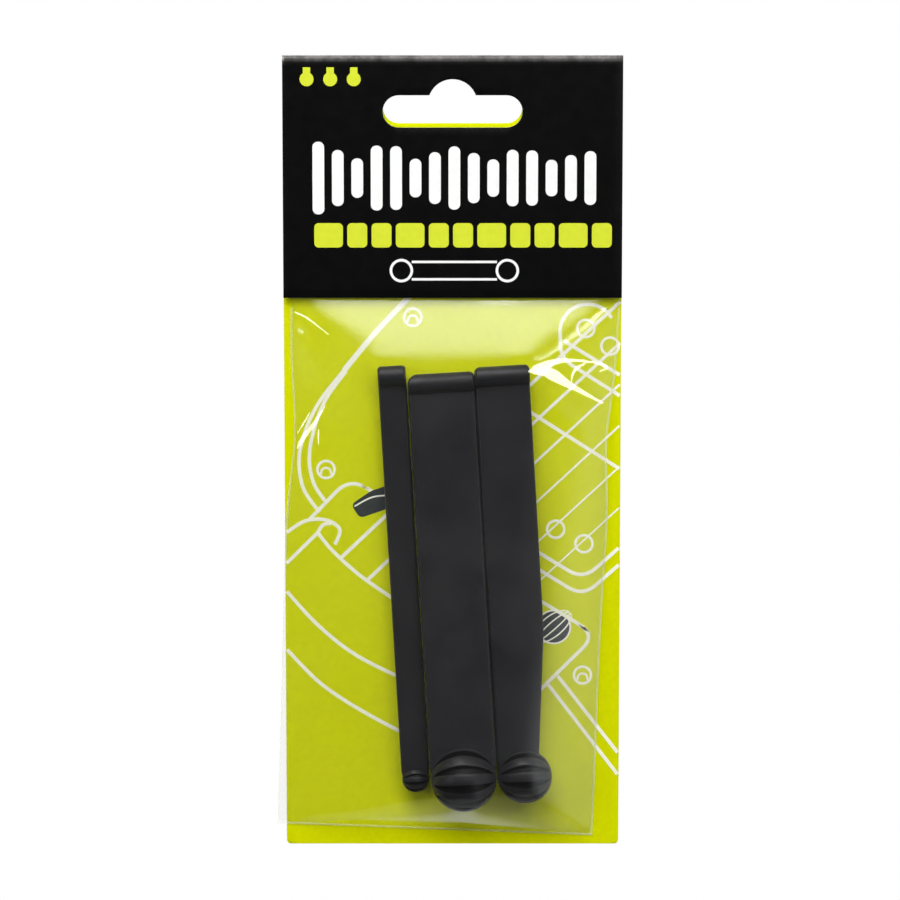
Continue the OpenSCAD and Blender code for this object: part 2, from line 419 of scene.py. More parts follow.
def make_object(name, vertices, faces, materials, indices=None):
    """A mesh from points in millimetres. Indices give each face's material."""
    mesh = bpy.data.meshes.new(name)
    mesh.from_pydata([tuple(MM * c for c in v) for v in vertices], [], [tuple(f) for f in faces])
    if indices is not None:
        mesh.polygons.foreach_set("material_index", indices)
    for material in materials:
        mesh.materials.append(material)
    made = add_object(name, mesh)
    tidy_normals(made)
    return made


def tidy_normals(made, angle=35):
    bm = bmesh.new()
    bm.from_mesh(made.data)
    bmesh.ops.recalc_face_normals(bm, faces=bm.faces)
    bm.to_mesh(made.data)
    bm.free()
    made.data.shade_smooth()
    made.data.set_sharp_from_angle(angle=math.radians(angle))


def apply_modifiers(made):
    """Turns what the modifiers show into the object's own mesh."""
    bpy.context.view_layer.update()
    graph = bpy.context.evaluated_depsgraph_get()
    final = bpy.data.meshes.new_from_object(made.evaluated_get(graph))
    made.modifiers.clear()
    made.data = final


def rings_to_faces(rings, size, closed=True):
    """Quads between consecutive rings of size points each."""
    steps = size if closed else size - 1
    return [
        (r * size + i, r * size + (i + 1) % size, (r + 1) * size + (i + 1) % size, (r + 1) * size + i)
        for r in range(rings - 1) for i in range(steps)
    ]


def rim_faces(rows, cols):
    """Quads that join the rims of two equal grids, with the second one's points after the first's."""
    count = rows * cols
    rim = (list(range(cols - 1)) + [r * cols + cols - 1 for r in range(rows - 1)]
           + [(rows - 1) * cols + c for c in range(cols - 1, 0, -1)]
           + [r * cols for r in range(rows - 1, 0, -1)])
    return [(a, count + a, count + b, b) for a, b in zip(rim, rim[1:] + rim[:1])]


def arc(centre, radius, first, last, steps=24):
    """Points on an arc in X and Z, its angles in degrees from +X towards +Z."""
    angles = np.radians(np.linspace(first, last, steps + 1))
    return [(centre[0] + radius * math.cos(a), centre[1] + radius * math.sin(a)) for a in angles]


# ---------------------------------------------------------------- card

SLOT_W, SLOT_H = 32.0, 7.3
HUMP_W, HUMP_H = 10.6, 3.65
PANEL_SLOT_LIFT = 1.0
CUT_DEPTH = 3
CORNER_R = 1.0
BEND_STEPS = 10
EDGE_ROUND = 0.07
# The card's material slots
OUTER, INNER, CORE = range(3)
# How far below the fold's top the lighter band starts, and over what height it grows to full: rub
# marks with a painted sheen of the curved fold
RUB_AND_SHEEN_FROM, RUB_AND_SHEEN_FADE = 1.7, 1.3


def slot_outline():
    """The hang slot's outline, counter-clockwise from its right end."""
    r = SLOT_H / 2
    half = SLOT_W / 2 - r
    hump_r = (HUMP_W ** 2 / 4 + HUMP_H ** 2) / (2 * HUMP_H)
    hump_z = r + HUMP_H - hump_r
    open_at = math.degrees(math.acos(HUMP_W / 2 / hump_r))
    if hump_z > r:
        open_at = -open_at
    return (arc((half, 0), r, -90, 90, 16)
            + arc((0, hump_z), hump_r, open_at, 180 - open_at, 20)
            + arc((-half, 0), r, 90, 270, 16))


def slot_cutter(name, near, far, lift, materials):
    outline = slot_outline()
    count = len(outline)
    vertices = [(x, near, z + lift) for x, z in outline] + [(x, far, z + lift) for x, z in outline]
    faces = [tuple(range(count)), tuple(range(2 * count - 1, count - 1, -1))]
    faces += [(i, (i + 1) % count, count + (i + 1) % count, count + i) for i in range(count)]
    return make_object(name, vertices, faces, materials, [CORE] * len(faces))


def card_path():
    """The board's middle line as y, z, outward y, outward z, from the panel's foot to the flap's."""
    middle = (panel_low.y + panel_high.y) / 2
    path = []
    foot = [0, 0.12, 0.3, 0.6, CORNER_R]
    for z in foot + list(np.linspace(CORNER_R, FOLD_AXIS - CARD_BOTTOM, 60))[1:]:
        path.append((middle, CARD_BOTTOM + z, 1, 0))
    for a in np.linspace(0, 180, BEND_STEPS + 1)[1:-1]:
        a = math.radians(a)
        y, z = math.cos(a), math.sin(a)
        path.append((middle * y, FOLD_AXIS + middle * z, y, z))
    for z in (FOLD_AXIS, FOLD_AXIS - 0.7, *np.linspace(FOLD_AXIS - 1.4, FLAP_BOTTOM, 24)):
        path.append((-middle, z, -1, 0))
    return path


def make_card(outer, inner, core):
    """The folded board as one sheet, with its slots cut through."""
    path = card_path()
    columns = np.linspace(-1, 1, 33)
    vertices = []
    for side in (1, -1):
        for y, z, out_y, out_z in path:
            drop = min(CORNER_R, z - CARD_BOTTOM) if out_z == 0 and out_y > 0 else CORNER_R
            half = HALF_W - CORNER_R + math.sqrt(max(0, CORNER_R ** 2 - (CORNER_R - drop) ** 2))
            for c in columns:
                offset = side * BOARD / 2
                vertices.append((c * half, y + out_y * offset, z + out_z * offset))
    rows, cols = len(path), len(columns)
    count = rows * cols
    faces, indices = [], []
    for r in range(rows - 1):
        for c in range(cols - 1):
            a = r * cols + c
            faces.append((a, a + 1, a + cols + 1, a + cols))
            faces.append((count + a, count + a + cols, count + a + cols + 1, count + a + 1))
            indices += [OUTER, INNER]
    rim = rim_faces(rows, cols)
    faces += rim
    indices += [CORE] * len(rim)
    card = make_object("folded_card", vertices, faces, [outer, inner, core], indices)
    cutters = [
        slot_cutter("flap_slot_cutter", -CUT_DEPTH, 0, 0, [outer, inner, core]),
        slot_cutter("panel_slot_cutter", 0, CUT_DEPTH, PANEL_SLOT_LIFT, [outer, inner, core]),
    ]
    for cutter in cutters:
        cut = card.modifiers.new("slot", "BOOLEAN")
        cut.operation = "DIFFERENCE"
        cut.solver = "EXACT"
        cut.object = cutter
    bevel = card.modifiers.new("edges", "BEVEL")
    bevel.width = EDGE_ROUND * MM
    bevel.segments = 2
    bevel.limit_method = "ANGLE"
    bevel.angle_limit = math.radians(60)
    apply_modifiers(card)
    for cutter in cutters:
        bpy.data.objects.remove(cutter)
    tidy_normals(card, 40)
    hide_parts("back_panel", "header_flap", "fold_crease")
    # Painted sheen with rub marks: how strongly each point near the fold's top is made lighter in
    # colour
    rub_and_sheen = card.data.attributes.new("rub_and_sheen", "FLOAT", "POINT")
    heights = np.array([v.co.z for v in card.data.vertices]) / MM
    fold_rub_and_sheen = np.clip((heights - FOLD_TOP + RUB_AND_SHEEN_FROM) / RUB_AND_SHEEN_FADE, 0, 1)
    rub_and_sheen.data.foreach_set("value", fold_rub_and_sheen.astype(np.float32))
    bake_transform(card)


# ---------------------------------------------------------------- print on the card

PRINT_T = 0.02
# How far each print sinks into the board, and how far each shape stands in front of the one before
PRINT_SINK, PRINT_STEP = 0.005, 0.0006


class Print:
    """Flat printed shapes on the board's front, collected into one thin closed mesh."""

    def __init__(self, face_y, thickness=PRINT_T):
        self.far = face_y + PRINT_SINK
        self.near = face_y - thickness
        self.vertices, self.faces = [], []

    def step_forward(self):
        """Keeps two shapes that cross from sharing a face."""
        self.near -= PRINT_STEP

    def band(self, left, right, closed=False):
        """A ribbon between two rows of points."""
        self.step_forward()
        start, n = len(self.vertices), len(left)
        for row, y in ((left, self.near), (right, self.near), (right, self.far), (left, self.far)):
            self.vertices += [(x, y, z) for x, z in row]
        for k in range(4):
            for i in range(n if closed else n - 1):
                a, b = start + k * n, start + ((k + 1) % 4) * n
                j = (i + 1) % n
                self.faces.append((a + i, a + j, b + j, b + i))
        if not closed:
            for i in (0, n - 1):
                self.faces.append(tuple(start + k * n + i for k in range(4)))

    def stroke(self, points, width, closed=False):
        """A line of the given width along points."""
        p = np.array(points, float)
        ahead = np.roll(p, -1, 0) - p
        behind = p - np.roll(p, 1, 0)
        if not closed:
            ahead[-1], behind[0] = behind[-1], ahead[0]
        ahead /= np.linalg.norm(ahead, axis=1)[:, None]
        behind /= np.linalg.norm(behind, axis=1)[:, None]
        along = ahead + behind
        along /= np.linalg.norm(along, axis=1)[:, None]
        across = np.stack([-along[:, 1], along[:, 0]], 1)
        stretch = 1 / np.clip(np.sum(along * ahead, 1), 0.5, 1)
        shift = across * stretch[:, None] * width / 2
        self.band((p + shift).tolist(), (p - shift).tolist(), closed)

    def ring(self, x, z, radius, width):
        self.stroke(arc((x, z), radius, 0, 360, 36)[:-1], width, closed=True)

    def shape(self, outline):
        """A filled outline."""
        self.step_forward()
        start, n = len(self.vertices), len(outline)
        self.vertices += [(x, y, z) for y in (self.near, self.far) for x, z in outline]
        self.faces.append(tuple(range(start, start + n)))
        self.faces.append(tuple(range(start + 2 * n - 1, start + n - 1, -1)))
        for i in range(n):
            j = (i + 1) % n
            self.faces.append((start + i, start + n + i, start + n + j, start + j))

    def pill(self, x, z, width, height, radius):
        """A filled rectangle with round corners, centred at x, z."""
        self.shape(rounded(x, z, width, height, radius))

    def finish(self, name, material, body):
        made = make_object(name, self.vertices, self.faces, [material])
        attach(made, body)


def rounded(x, z, width, height, radius, steps=6):
    """Outline of a rectangle with round corners, centred at x, z."""
    w, h = width / 2 - radius, height / 2 - radius
    corners = ((w, h, 0), (-w, h, 90), (-w, -h, 180), (w, -h, 270))
    return [p for cx, cz, a in corners for p in arc((x + cx, z + cz), radius, a, a + 90, steps)]


def make_header_print(white, lime):
    """Plain marks in place of the header's words: a fading wave, pills and a string on two posts."""
    bars = Print(FLAP_FACE)
    count, width, mid = 15, 62.4, -15.2
    for i in range(count):
        swell = abs(math.cos(i * math.pi / 3.5))
        height = 7.0 + 9.6 * swell * (1 - 0.45 * i / (count - 1))
        bars.pill(-30.8 + width * i / (count - 1), mid, 2.7, height, 1.25)
    for z in (-34.4, -38.4):
        bars.stroke([(-9.4, z), (10.2, z)], 0.55)
    for x in (-11.8, 12.6):
        bars.ring(x, -36.4, 2.4, 0.6)
    bars.finish("header_bars", white, "flap")
    pills = Print(FLAP_FACE)
    x = -31.8
    for i in range(11):
        width = 4.6 if i % 3 else 6.6
        pills.pill(x + width / 2, -28.3, width, 5.6, 1.0)
        x += width + 0.98
    for i in range(3):
        place = -33.4 + 5.4 * i
        bulb = arc((place, 7.3), 1.6, 122, 418, 24)
        pills.shape(bulb + [(place + 0.85, 10.0), (place - 0.85, 10.0)])
    pills.finish("header_pills", lime, "flap")


def curve(points, steps=14):
    """A smooth line through points (Catmull-Rom)."""
    p = [points[0], *points, points[-1]]
    line = []
    for i in range(1, len(p) - 2):
        for t in np.linspace(0, 1, steps, endpoint=False):
            line.append(tuple(
                0.5 * (2 * b + (c - a) * t + (2 * a - 5 * b + 4 * c - d) * t * t
                       + (3 * b - a - 3 * c + d) * t ** 3)
                for a, b, c, d in zip(p[i - 1], p[i], p[i + 1], p[i + 2])))
    return line + [points[-1]]


def rounded_path(points, radius, steps=8):
    """An open line along points with its corners rounded."""
    line = [points[0]]
    for a, b, c in zip(points, points[1:], points[2:]):
        a, b, c = (np.array(q, float) for q in (a, b, c))
        start = b + (a - b) / np.linalg.norm(a - b) * radius
        end = b + (c - b) / np.linalg.norm(c - b) * radius
        for t in np.linspace(0, 1, steps + 1):
            line.append(tuple((1 - t) ** 2 * start + 2 * t * (1 - t) * b + t * t * end))
    return line + [points[-1]]


EDGE = 38.7
LINE = 0.82


def screw(lines, x, z):
    """A countersunk screw: a ring, and a smaller bowed ring inside it."""
    lines.ring(x, z, 2.0, 0.6)
    lines.stroke(arc((x, z - 0.75), 1.15, -20, 200, 20), 0.5)


def make_artwork(pale, grey):
    """A plain line drawing of a guitar's body, strings, pickup and bridge on the lime panel."""
    lines = Print(PANEL_FACE)

    def straight(*points, width=LINE):
        lines.stroke(points, width)

    def bent(*points, width=LINE):
        lines.stroke(curve(points), width)

    def cornered(radius, *points):
        lines.stroke(rounded_path(points, radius), LINE)

    # Body edge: one bold line that opens into two
    bent((-8.6, -41.0), (-17.5, -50.4), (-25.2, -59.6), width=1.25)
    bent((-24.9, -59.2), (-31.6, -68.0), (-35.4, -78.0), (-34.9, -86.4), (-31.0, -92.6))
    bent((-24.6, -59.6), (-30.0, -67.4), (-33.1, -77.6), (-32.5, -85.2), (-29.2, -90.6))
    for x, z in ((-9.2, -47.2), (-29.4, -82.6), (30.4, -131.0)):
        screw(lines, x, z)
    # Arm rest and its rolled edge
    cornered(4.5, (-33.6, -94.6), (-24.0, -84.6), (-17.0, -88.6), (-14.0, -92.0))
    bent((-EDGE, -97.4), (-34.4, -94.7), (-29.6, -94.4), (-26.3, -96.6), (-27.4, -100.2))
    bent((-31.4, -97.4), (-30.2, -95.6), (-28.2, -95.2))
    straight((-31.4, -97.4), (-EDGE, -104.6))
    bent((-31.4, -97.4), (-28.0, -101.6), (-21.4, -107.6), (-12.0, -114.2))
    straight((-26.0, -103.3), (-13.6, -91.6))
    straight((-20.0, -108.7), (-12.6, -101.6))
    # Lower body contours
    bent((-EDGE, -111.2), (-31.2, -119.4), (-22.0, -126.6), (-8.0, -133.6))
    bent((-EDGE, -125.0), (-30.6, -133.2), (-20.0, -140.2), (-6.0, -147.6))
    # Strings and frets
    for i, width in enumerate((0.80, 0.70, 0.56, 0.46, 0.40, 0.36)):
        z = -43.6 - 9.6 * i
        straight((EDGE, z), (15.0, z - 0.93 * (EDGE - 15.0)), width=width)
    straight((17.0, -68.6), (EDGE, -82.4))
    straight((25.6, -52.6), (EDGE, -60.6))
    # End of the neck
    lines.stroke(arc((31.2, -50.6), 6.4, 30, 190, 24) + [(24.9, -55.0)], LINE)
    cornered(3.4, (24.9, -51.0), (24.9, -56.6), (EDGE, -65.4))
    for x, z in ((30.8, -49.8), (36.4, -53.9), (24.0, -96.6), (30.6, -100.0)):
        lines.ring(x, z, 2.0, 0.6)
    # Pickup, drawn as two nested plates
    for drop in (0.0, 4.0):
        cornered(4.0, (18.0, -100.8 - drop), (30.4, -108.4 - drop), (EDGE, -101.0 - drop))
    # Bridge plate and the strap lines behind it
    cornered(4.2, (17.0, -111.4), (28.4, -118.2), (33.4, -121.6), (18.0, -137.0))
    straight((24.6, -131.2), (EDGE, -149.4))
    straight((22.4, -133.3), (EDGE, -154.6))
    lines.finish("artwork_lines", pale, "card")
    # A dampener in use: its tip on the left of the strings, its ball on the right
    body = Print(PANEL_FACE, 0.03)
    body.shape(rounded_path([(-13.0, -85.6), (-19.0, -87.6), (-23.6, -90.8), (-21.6, -94.0),
                             (-13.0, -91.0)], 1.2))
    body.shape(arc((23.6, -119.6), 3.9, 0, 360, 36)[:-1])
    body.finish("artwork_dark_shapes", grey, "card")
    ribs = Print(PANEL_FACE, 0.045)
    ribs.stroke(arc((23.6, -119.6), 3.9, 0, 360, 36)[:-1], 0.4, closed=True)
    for bow in (-3.0, -1.3, 0.6, 2.3):
        ribs.stroke([(23.6 + 3.8 * math.sin(a) + bow * math.cos(a) * 0.7,
                      -119.6 + 3.8 * math.sin(a) * 0.9 - bow * math.cos(a) * 0.6)
                     for a in np.linspace(-1.45, 1.45, 15)], 0.32)
    ribs.stroke(curve([(-22.8, -91.2), (-18.4, -89.0), (-13.0, -88.6)]), 0.36)
    ribs.finish("artwork_ribs", pale, "card")


# ---------------------------------------------------------------- dampeners

LEAN = math.radians(3.3)
BAR_R = 2.3
TIP_RISE = 0.3
DRAFT = 0.12
GROOVES = 10
GROOVE_HALF = math.radians(8.0)
GROOVE_REACH = math.radians(66)
# Shares of the ball's radius: a groove's depth, and the round-over at its rims
GROOVE_DEPTH = 0.17
GROOVE_ROUND = 0.012
LAND_UP = math.radians(8)
# The strip's edge radius, and the waviness of its faces
EDGE_R = 0.5
WAVE = 0.10
STRIPS = {
    "small": dict(length=96.8, width=6.3, thick=2.4, twist=0.0,
                  cut=(0.4, 0.4), cut_from=(1.5, 1.5), corner=(0.9, 0.9)),
    "medium": dict(length=95.6, width=12.5, thick=2.8, twist=0.055,
                   cut=(0.4, 3.2), cut_from=(3, 34), corner=(1.3, 1.1)),
    "large": dict(length=94.4, width=15.2, thick=3.0, twist=-0.01,
                  cut=(0.4, 0.4), cut_from=(3.8, 3.8), corner=(2.4, 1.2)),
}


def smooth_min(a, b, k):
    h = max(0.0, k - abs(a - b)) / k
    return min(a, b) - h * h * k / 4


def strip_profile(strip, z):
    """Front and back of the strip at height z above the ball's middle."""
    centre = strip["length"] - BAR_R
    t = min(1.0, z / centre)
    thick = strip["thick"]
    front = -thick / 2 + (BAR_R - thick / 2) * t
    back = thick / 2 + (BAR_R - thick / 2) * t
    off = abs(z - centre)
    if off < BAR_R:
        bulge = math.sqrt(BAR_R ** 2 - off ** 2)
        if z > centre:
            return -bulge, bulge
        front = smooth_min(front, -bulge, 0.5)
    return front, back


def strip_edge(strip, z, side):
    """Distance from the strip's middle line to its left (0) or right (1) edge at height z."""
    half, length = strip["width"] / 2, strip["length"]
    cut, start, corner = strip["cut"][side], strip["cut_from"][side], strip["corner"][side]
    edge = half - cut * max(0.0, 1 - z / start)
    over = z - (length - corner)
    if over > 0:
        edge -= corner - math.sqrt(max(0.0, corner ** 2 - over ** 2))
    return edge


def make_strip(strip):
    """Vertices and faces of a strip: the ball's middle at the origin, the tip at +Z."""
    length = strip["length"]
    low = length - 2 * BAR_R - 0.6
    heights = list(np.linspace(0, low, 90)) + list(np.linspace(low, length - BAR_R, 44))[1:]
    over_nose = np.linspace(0, math.radians(88.5), 26)
    heights += [length - BAR_R + BAR_R * math.sin(a) for a in over_nose][1:]
    vertices = []
    for z in heights:
        front, back = strip_profile(strip, z)
        left, right = strip_edge(strip, z, 0), strip_edge(strip, z, 1)
        e = min(EDGE_R, 0.48 * (back - front))
        ring = []
        corners = ((right - e + DRAFT, back - e, 0), (-left + e - DRAFT, back - e, 90),
                   (-left + e, front + e, 180), (right - e, front + e, 270))
        flat = 12
        for k, (cx, cy, a) in enumerate(corners):
            ring += [(cx + e * math.cos(math.radians(a + d)), cy + e * math.sin(math.radians(a + d)))
                     for d in (0, 18, 36, 54, 72, 90)]
            if k in (0, 2):
                end = corners[(k + 1) % 4]
                y = cy + e if k == 0 else cy - e
                ring += [(cx + (end[0] - cx) * i / flat, y) for i in range(1, flat)]
        for x, y in ring:
            wave = noise.noise(Vector((x * 0.11, z * 0.045, length))) * WAVE
            vertices.append((x, y + wave, z))
    size = len(vertices) // len(heights)
    faces = rings_to_faces(len(heights), size)
    faces.append(tuple(range(size - 1, -1, -1)))
    last = (len(heights) - 1) * size
    faces.append(tuple(range(last, last + size)))
    return vertices, faces


def ball_columns():
    """Places around the ball: groove number, side, on the land or not, and share of that zone."""
    groove = (0.3, 0.6, 0.78, 0.88, 0.94, 1.0)
    land = (0.05, 0.12, 0.25, 0.5, 0.75)
    half = [(0, share) for share in groove] + [(1, share) for share in land]
    for g in range(GROOVES):
        for on_land, share in reversed(half):
            yield g, -1, on_land, share
        yield g, 1, 0, 0.0
        for on_land, share in half:
            yield g, 1, on_land, share
        yield g, 1, 1, 1.0


def make_ball(radius):
    """Vertices and faces of a ribbed ball with its poles on X. The mesh follows the grooves' walls."""
    columns = list(ball_columns())
    pitch = 2 * math.pi / GROOVES
    rows = np.radians(np.linspace(-90, 90, 97)[1:-1])
    vertices = []
    for tilt in rows:
        lens = max(0.0, 1 - (tilt / GROOVE_REACH) ** 2)
        half = max(GROOVE_HALF * lens ** 0.55, 0.004)
        for g, side, on_land, share in columns:
            if on_land:
                turn = half + (pitch / 2 - half) * share
                depth = GROOVE_ROUND * radius * lens * max(0.0, 1 - share * 4) ** 2
            else:
                turn = half * share
                floor = GROOVE_DEPTH * lens ** 0.45 * (1 - share ** 10)
                depth = (floor + GROOVE_ROUND * lens * share) * radius
            angle = LAND_UP - math.pi / 2 + (g + 0.5) * pitch + side * turn
            r = radius - depth
            vertices.append((r * math.sin(tilt), r * math.cos(tilt) * math.sin(angle),
                             r * math.cos(tilt) * math.cos(angle)))
    size = len(columns)
    faces = rings_to_faces(len(rows), size)
    in_groove = [not (columns[i][2] or columns[(i + 1) % size][2]) for i in range(size)]
    grooved = [in_groove[i] and abs(rows[r]) < GROOVE_REACH
               for r in range(len(rows) - 1) for i in range(size)]
    start = len(vertices)
    vertices += [(-radius, 0, 0), (radius, 0, 0)]
    last = (len(rows) - 1) * size
    faces += [(i, start, (i + 1) % size) for i in range(size)]
    faces += [(last + i, last + (i + 1) % size, start + 1) for i in range(size)]
    return vertices, faces, [int(g) for g in grooved] + [0] * (2 * size)


def make_dampener(name, material, shaded_groove_material):
    strip = STRIPS[name]
    node = "dampener_" + name
    low, high = box_mm(node)
    radius = -low.y / 2
    centre = Vector((high.x - radius, -radius, low.z + radius))
    back = math.asin((radius - TIP_RISE - BAR_R) / strip["length"])
    turn = (Matrix.Rotation(-LEAN, 4, "Y") @ Matrix.Rotation(-back, 4, "X")
            @ Matrix.Rotation(strip["twist"], 4, "Z"))
    vertices, faces = make_strip(strip)
    ball_vertices, ball_faces, grooved = make_ball(radius)
    start = len(vertices)
    # Faces inside the ball's grooves take the darker rubber: painted shade in the grooves
    indices = [0] * len(faces) + grooved
    vertices = vertices + ball_vertices
    faces = faces + [tuple(start + i for i in f) for f in ball_faces]
    placed = [centre + turn @ Vector(v) for v in vertices]
    made = make_object("rubber_dampener_" + name, placed, faces, [material, shaded_groove_material], indices)
    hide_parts(node)
    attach(made, name)


# ---------------------------------------------------------------- bag

SEAL = 0.8
FILM_T = 0.05
FILM_ACROSS = 150
FILM_DOWN = 254
FILM_TAB_ROWS = 24
SLIDE = 4.0
# Room between the front film and the dampeners, and how much of it the softening may take
FILM_GAP = 0.45
GAP_GIVE = 0.12
# Passes that round the taut film's ridges, and then its creases
RIDGE_ROUNDS, CREASE_ROUNDS = 60, 8
SLACK = 0.25
# How far the films lie inside the tab's front and back, and the bend where they leave it
TAB_FRONT_INSET, TAB_BACK_INSET = 0.02, 0.06
TAB_BEND = 6


def bag_edge(top, bottom, foot, z):
    return top + (bottom - top) * (z - back_film_high.z) / (foot - back_film_high.z)


def bag_sides(z):
    """Left and right edge of the bag at height z. They draw in where the bag is full."""
    left = bag_edge(weld_left_high.x - SEAL, weld_left_low.x, weld_left_low.z, z)
    right = bag_edge(weld_right_high.x, weld_right_low.x + SEAL, weld_right_low.z, z)
    left += 1.5 * math.exp(-((z + 74) / 14) ** 2)
    right -= 1.3 * math.exp(-((z + 76) / 12) ** 2) + 0.5 * math.exp(-((z + 122) / 26) ** 2)
    return left, right


def nearest_front(tree, x, z):
    """The frontmost y of the dampeners at x, z, at any place along their slides, or None."""
    found = None
    for shift in np.linspace(0, SLIDE, 5):
        origin = Vector((x + math.sin(LEAN) * shift, -60, z - math.cos(LEAN) * shift)) * MM
        hit = tree.ray_cast(origin, Vector((0, 1, 0)))[0]
        if hit is not None:
            found = hit.y / MM if found is None else min(found, hit.y / MM)
    return found


def dampener_tree():
    """The CAD dampeners as one tree for ray casts, in metres."""
    vertices, faces = [], []
    for name in STRIPS:
        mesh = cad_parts["dampener_" + name].data
        start = len(vertices)
        vertices += [v.co.copy() for v in mesh.vertices]
        faces += [tuple(start + i for i in p.vertices) for p in mesh.polygons]
    return BVHTree.FromPolygons(vertices, faces)


def bag_grid():
    """X and Z of the lower bag's film, row by row from the header down to the hem."""
    left_foot, right_foot = weld_left_low.z, weld_right_low.z
    top = FLAP_BOTTOM + 0.6
    xs = np.zeros((FILM_DOWN + 1, FILM_ACROSS + 1))
    zs = np.zeros_like(xs)
    for r in range(FILM_DOWN + 1):
        v = r / FILM_DOWN
        for c in range(FILM_ACROSS + 1):
            u = c / FILM_ACROSS
            foot = left_foot + (right_foot - left_foot) * u
            z = top + (foot - top) * v
            left, right = bag_sides(z)
            xs[r, c] = left + (right - left) * u
            zs[r, c] = z
    return xs, zs


# The film's crest over the tips: left and right end, level and height
CREST_LEFT, CREST_RIGHT, CREST_Z, CREST_HEIGHT = -16.0, 17.0, -57.6, 6.0


def taut(xs, zs, rest_on):
    """Height of a film pulled tight over rest_on from its rim: the convex cover of both."""
    bm = bmesh.new()
    rows, cols = xs.shape
    for x in (CREST_LEFT, CREST_RIGHT):
        bm.verts.new((x, CREST_Z, CREST_HEIGHT))
    for r in range(0, rows, 2):
        for c in range(0, cols, 2):
            on_rim = r in (0, rows - 1) or c in (0, cols - 1)
            if on_rim or rest_on[r, c] > 0.5:
                bm.verts.new((xs[r, c], zs[r, c], rest_on[r, c]))
    bmesh.ops.convex_hull(bm, input=bm.verts)
    cover = BVHTree.FromBMesh(bm)
    bm.free()
    height = np.zeros_like(xs)
    down = Vector((0, 0, -1))
    for r in range(rows):
        for c in range(cols):
            hit = cover.ray_cast(Vector((xs[r, c], zs[r, c], 60)), down)[0]
            if hit is not None:
                height[r, c] = max(0.0, hit.z)
    return height


def from_rim(shape):
    """How far each point is from the film's rim, as 0 at the rim to 1 some millimetres inside."""
    down, across = np.arange(shape[0])[:, None], np.arange(shape[1])[None, :]
    reach = np.minimum(np.minimum(across, shape[1] - 1 - across) / 9.0,
                       np.minimum(down, shape[0] - 1 - down) / 7.0)
    reach = np.clip(reach, 0, 1)
    return reach * reach * (3 - 2 * reach)


def soften(height, floor, rounds):
    """Rounds the ridges of a height field, without letting it sink under floor."""
    for _ in range(rounds):
        mean = (height[1:-1, :-2] + height[1:-1, 2:] + height[:-2, 1:-1] + height[2:, 1:-1]) / 4
        height[1:-1, 1:-1] = np.maximum(mean, floor[1:-1, 1:-1])
    return height


def fan_folds(xs, zs):
    """Faint folds that fan out from the bag's two upper corners."""
    total = np.zeros_like(xs)
    for x, z, count, turn in ((-37.0, -44.0, 23.0, 0.4), (38.0, -44.0, 19.0, 1.7)):
        away = np.hypot(xs - x, zs - z)
        angle = np.arctan2(z - zs, np.abs(xs - x))
        fade = np.clip(away / 9.0, 0, 1) * np.clip((34.0 - away) / 16.0, 0, 1)
        total += 0.0021 * away * fade * np.sin(angle * count + turn + 0.8 * np.sin(angle * 9.0))
    return total


# Creases of the front film: from, to, height, width, in millimetres
CREASES = [
    ((22.0, -67.5), (33.0, -76.0), 0.4, 1.4),
    ((-35.5, -50.0), (-29.5, -53.5), 0.35, 0.7),
    ((-37.0, -69.0), (-30.0, -80.0), 0.45, 0.9),
    ((-36.0, -76.0), (-28.0, -84.0), 0.35, 0.9),
    ((22.5, -160.0), (32.0, -168.5), 0.9, 1.4),
    ((-11.0, -158.0), (-36.0, -165.5), 0.5, 1.6),
    ((23.0, -150.0), (34.0, -136.0), 0.5, 1.6),
]


def crease_height(xs, zs):
    total = np.zeros_like(xs)
    for (x0, z0), (x1, z1), height, width in CREASES:
        dx, dz = x1 - x0, z1 - z0
        length = math.hypot(dx, dz)
        along = ((xs - x0) * dx + (zs - z0) * dz) / length ** 2
        away = ((xs - x0) * dz - (zs - z0) * dx) / length
        bow = 0.05 * length * np.sin(np.clip(along, 0, 1) * math.pi)
        fade = np.clip(np.minimum(along, 1 - along) * 4, 0, 1)
        total += height * fade * fade * (3 - 2 * fade) * np.exp(-(((away + bow) / width) ** 2))
    return total


def film_mesh(name, grid, material, thickness):
    """A film as a closed sheet on a grid of points, its thickness behind it."""
    rows, cols = len(grid), len(grid[0])
    front = [tuple(p) for row in grid for p in row]
    back = [(x, y + thickness, z) for x, y, z in front]
    count = rows * cols
    faces = rings_to_faces(rows, cols, closed=False)
    faces += [tuple(count + i for i in reversed(f)) for f in faces]
    faces += rim_faces(rows, cols)
    return make_object(name, front + back, faces, [material])


def dampener_span():
    """Lowest and highest X that a dampener reaches, with its slides."""
    boxes = [box_mm("dampener_" + name) for name in STRIPS]
    return min(b[0].x for b in boxes) - 1, max(b[1].x for b in boxes) + 1


def film_height(xs, zs, rim):
    """How far the front film stands in front of its rim: taut over the dampeners, then creased."""
    tree = dampener_tree()
    rest_on = np.zeros_like(xs)
    left, right = dampener_span()
    for r, c in np.ndindex(xs.shape):
        if left < xs[r, c] < right:
            y = nearest_front(tree, xs[r, c], zs[r, c])
            if y is not None:
                rest_on[r, c] = rim - y + FILM_GAP
    least = rest_on - GAP_GIVE
    height = soften(taut(xs, zs, rest_on), least, RIDGE_ROUNDS)
    slack = np.array([[noise.noise(Vector((x * 0.045, z * 0.022, 3.0))) for x, z in zip(*row)]
                      for row in zip(xs, zs)])
    height += (crease_height(xs, zs) + fan_folds(xs, zs) + SLACK * slack) * from_rim(xs.shape)
    return soften(np.maximum(height, least), np.zeros_like(xs), CREASE_ROUNDS)


def tab_rows(xs, foot, start, end):
    """A film's rows inside the header, from y start at the tab's top to y end at the bag."""
    rows = []
    for i in range(FILM_TAB_ROWS):
        v = i / FILM_TAB_ROWS
        y = start + (end - start) * v ** TAB_BEND
        z = tab_high.z + (foot - tab_high.z) * v
        rows.append([(x, y, z) for x in xs])
    return rows


